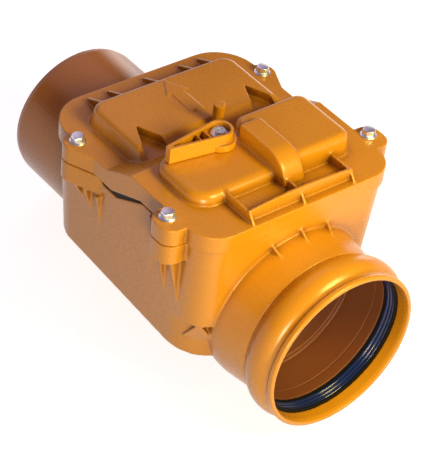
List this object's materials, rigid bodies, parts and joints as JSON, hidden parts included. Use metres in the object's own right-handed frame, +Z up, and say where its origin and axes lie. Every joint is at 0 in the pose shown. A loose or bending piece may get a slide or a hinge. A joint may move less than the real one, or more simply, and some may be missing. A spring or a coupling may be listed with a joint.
{
  "type": "backwater valve",
  "caption": "Inline sewer backwater valve: boxy chamber with a bolted stepped lid, plain spigot, beaded socket with lip seal, swing flap and a hand lever that locks the flap shut.",
  "frame": {"origin": "on the ground plane under the middle of the part: halfway between the two pipe ends, in the centre plane, at the height of the lowest point of the socket bead", "axes": "+X along the pipe axis towards the inlet socket, +Z up towards the lid, +Y completes a right-handed frame; the lever stands on the -Y side"},
  "size_m": [0.31, 0.192, 0.1728],
  "materials": {
    "pvc_body": "moulded, satin",
    "pvc_lid": "moulded, satin",
    "pvc_lever": "moulded, satin",
    "grey_plastic": "moulded, matt",
    "black_plastic": "moulded, matt",
    "blue_ring": "moulded, glossy",
    "rubber": "moulded",
    "zinc": "zinc plated",
    "stainless": "turned or stamped"
  },
  "bodies": {
    "housing": {"body_shell": "pvc_body", "inlet_socket": "pvc_body", "socket_seal": "rubber", "seal_ring": "blue_ring", "flap_frame": "grey_plastic", "frame_oring": "rubber", "frame_screws": "stainless", "hinge_pin": "stainless", "hinge_clips": "stainless", "lid": "pvc_lid", "lid_gasket": "rubber", "lid_bolts": "zinc", "lid_nuts": "zinc"},
    "flap": {"flap_plate": "pvc_body", "flap_seal": "rubber", "clamp_ring": "stainless", "clamp_rivets": "stainless"},
    "lever": {"lever": "pvc_lever", "lever_screw": "zinc", "lever_washer": "zinc", "lock_spindle": "stainless", "spindle_oring": "rubber", "lock_arm": "black_plastic", "arm_pin": "stainless", "spindle_clip": "stainless"}
  },
  "joints": [
    {"name": "flap_hinge", "type": "hinge", "parent": "housing", "child": "flap", "pos_m": [0.0801, 0, 0.14], "axis": [0, 1, 0], "range_deg": [0, 65]},
    {"name": "lever_turn", "type": "hinge", "parent": "housing", "child": "lever", "pos_m": [0.0255, -0.017, 0.15], "axis": [0, 0, 1], "range_deg": [0, 90]}
  ]
}
